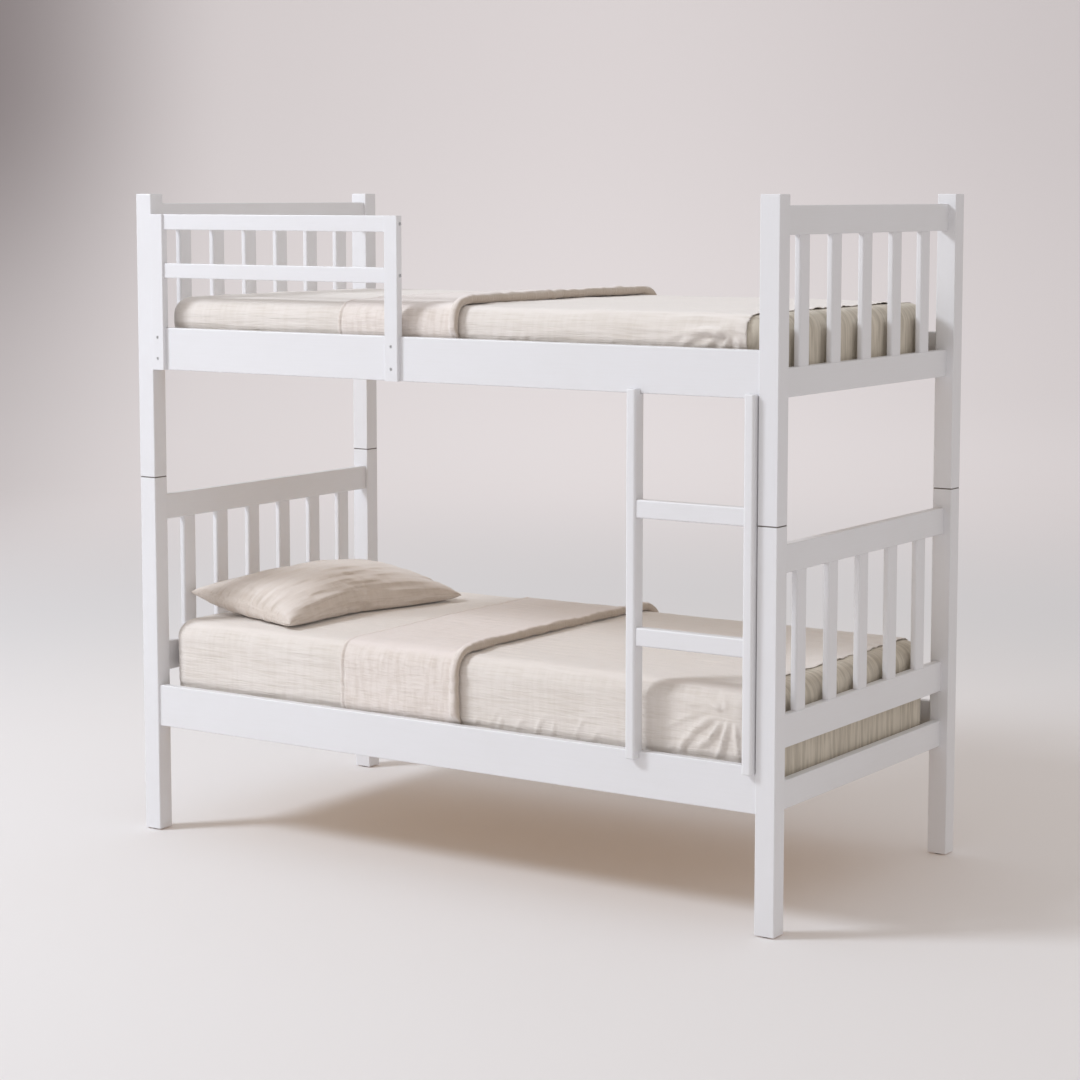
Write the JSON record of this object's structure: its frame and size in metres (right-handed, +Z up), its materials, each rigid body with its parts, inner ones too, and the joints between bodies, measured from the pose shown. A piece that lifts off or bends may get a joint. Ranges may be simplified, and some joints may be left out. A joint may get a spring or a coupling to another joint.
{
  "type": "bunk bed",
  "caption": "Single-over-single bunk bed in white lacquered wood with slatted ends, a short front guard, a clip-in ladder, made-up mattresses and a pillow.",
  "frame": {"origin": "on the floor, under the middle of the four posts", "axes": "+X along the bed towards the ladder end, +Y from the front to the rear, +Z up"},
  "size_m": [2, 1.027, 1.77],
  "materials": {
    "white_lacquer": "smooth satin white lacquer over solid wood, edges lightly rounded",
    "bare_pine": "planed, unfinished softwood",
    "beech_dowel": "turned hardwood, glued in",
    "zinc_steel": "bright zinc plating",
    "nylon_glide": "matt moulded nylon",
    "sheet_fabric": "crinkled cotton gauze fitted sheet in warm cream",
    "coverlet_fabric": "doubled crinkled cotton gauze with a rolled hem",
    "pillow_fabric": "crinkled cotton gauze pillow cover in beige"
  },
  "bodies": {
    "lower_bed": {"floor_glides": "nylon_glide", "ladder_pins": "zinc_steel", "lower_base_slats": "bare_pine", "lower_end_dowels": "beech_dowel", "lower_ledger_front": "bare_pine", "lower_ledger_rear": "bare_pine", "lower_left_end_low_rail": "white_lacquer", "lower_left_end_mid_rail": "white_lacquer", "lower_left_end_slats": "white_lacquer", "lower_left_end_top_rail": "white_lacquer", "lower_post_front_left": "white_lacquer", "lower_post_front_right": "white_lacquer", "lower_post_plates": "zinc_steel", "lower_post_rear_left": "white_lacquer", "lower_post_rear_right": "white_lacquer", "lower_rail_hooks": "zinc_steel", "lower_right_end_low_rail": "white_lacquer", "lower_right_end_mid_rail": "white_lacquer", "lower_right_end_slats": "white_lacquer", "lower_right_end_top_rail": "white_lacquer", "lower_side_rail_front": "white_lacquer", "lower_side_rail_rear": "white_lacquer", "lower_wood_screws": "zinc_steel", "stacking_pins": "zinc_steel"},
    "upper_bed": {"guard_bolts": "zinc_steel", "guard_mid_rail": "white_lacquer", "guard_screws": "zinc_steel", "guard_stile_left": "white_lacquer", "guard_stile_right": "white_lacquer", "guard_top_rail": "white_lacquer", "upper_base_slats": "bare_pine", "upper_end_dowels": "beech_dowel", "upper_ledger_front": "bare_pine", "upper_ledger_rear": "bare_pine", "upper_left_end_low_rail": "white_lacquer", "upper_left_end_slats": "white_lacquer", "upper_left_end_top_rail": "white_lacquer", "upper_post_front_left": "white_lacquer", "upper_post_front_right": "white_lacquer", "upper_post_plates": "zinc_steel", "upper_post_rear_left": "white_lacquer", "upper_post_rear_right": "white_lacquer", "upper_rail_hooks": "zinc_steel", "upper_right_end_low_rail": "white_lacquer", "upper_right_end_slats": "white_lacquer", "upper_right_end_top_rail": "white_lacquer", "upper_side_rail_front": "white_lacquer", "upper_side_rail_rear": "white_lacquer", "upper_wood_screws": "zinc_steel"},
    "ladder": {"ladder_rung_dowels": "beech_dowel", "ladder_rung_lower": "white_lacquer", "ladder_rung_upper": "white_lacquer", "ladder_stile_left": "white_lacquer", "ladder_stile_right": "white_lacquer"},
    "lower_bedding": {"lower_coverlet": "coverlet_fabric", "lower_mattress": "sheet_fabric"},
    "upper_bedding": {"upper_coverlet": "coverlet_fabric", "upper_mattress": "sheet_fabric"},
    "pillow": {"pillow": "pillow_fabric"}
  },
  "joints": [
    {"name": "upper_bed_lift", "type": "slide", "parent": "lower_bed", "child": "upper_bed", "axis": [0, 0, 1], "range_m": [0, 0.12]},
    {"name": "ladder_pull", "type": "slide", "parent": "lower_bed", "child": "ladder", "axis": [0, -1, 0], "range_m": [0, 0.25]},
    {"name": "lower_mattress_lift", "type": "slide", "parent": "lower_bed", "child": "lower_bedding", "axis": [0, 0, 1], "range_m": [0, 0.2]},
    {"name": "upper_mattress_lift", "type": "slide", "parent": "upper_bed", "child": "upper_bedding", "axis": [0, 0, 1], "range_m": [0, 0.45]},
    {"name": "pillow_lift", "type": "slide", "parent": "lower_bedding", "child": "pillow", "axis": [0, 0, 1], "range_m": [0, 0.25]}
  ]
}
